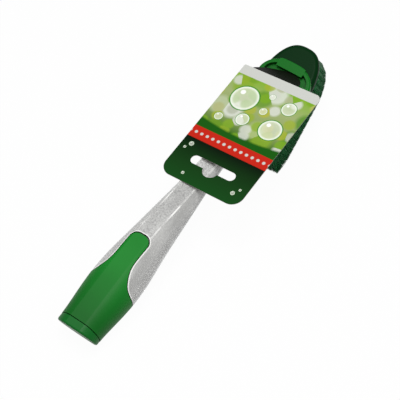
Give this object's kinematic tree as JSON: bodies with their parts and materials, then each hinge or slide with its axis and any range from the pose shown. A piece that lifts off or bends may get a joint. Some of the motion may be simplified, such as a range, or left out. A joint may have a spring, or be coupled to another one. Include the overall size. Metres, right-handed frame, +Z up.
{
  "type": "dish wand",
  "caption": "Dish wand: clear refillable soap handle with a green grip and screw-in fill cap, a foot with a slit valve, a slide-on tufted brush head and a hanging card.",
  "frame": {"origin": "under the middle of the wand's box, on the table that it lies on", "axes": "+X along the wand from the fill cap towards the brush, +Y to its left, +Z up from the table"},
  "size_m": [0.2624, 0.0626, 0.0618],
  "materials": {
    "clear_plastic": "clear, frosted on the top facet",
    "grip_green": "soft satin",
    "cap_green": "satin",
    "foot_green": "moulded gloss",
    "plate_green": "satin",
    "bristle_green": "nylon filament",
    "seal_rubber": "matte",
    "valve_silicone": "translucent matte",
    "printed_card": "glossy print"
  },
  "bodies": {
    "handle": {"reservoir": "clear_plastic", "grip_sleeve": "grip_green", "neck_seal": "seal_rubber", "foot_shell": "foot_green", "rail_base": "foot_green", "valve_retainer": "foot_green", "slit_valve": "valve_silicone"},
    "cap_carrier": {"cap_gasket": "seal_rubber"},
    "cap": {"end_cap": "cap_green"},
    "brush": {"brush_plate": "plate_green", "tufts_outer": "bristle_green", "tufts_middle": "bristle_green", "tufts_inner": "bristle_green", "tufts_core": "bristle_green"},
    "card": {"card": "printed_card"}
  },
  "joints": [
    {"name": "cap_draw", "type": "slide", "parent": "handle", "child": "cap_carrier", "axis": [-0.9849, 0, -0.173], "range_m": [0, 0.009]},
    {"name": "cap_turn", "type": "hinge", "parent": "cap_carrier", "child": "cap", "pos_m": [-0.12351, 0.00559, 0.01107], "axis": [-0.9849, 0, -0.173], "range_deg": [0, 1080]},
    {"name": "brush_slide", "type": "slide", "parent": "handle", "child": "brush", "axis": [-0.9208, 0, -0.3901], "range_m": [0, 0.04]},
    {"name": "card_lift", "type": "slide", "parent": "handle", "child": "card", "axis": [-0.3901, 0, 0.9208], "range_m": [0, 0.04]}
  ],
  "couplings": [
    {"joint": "cap_draw", "follows": "cap_turn", "m_per_rad": 0.00047746}
  ]
}
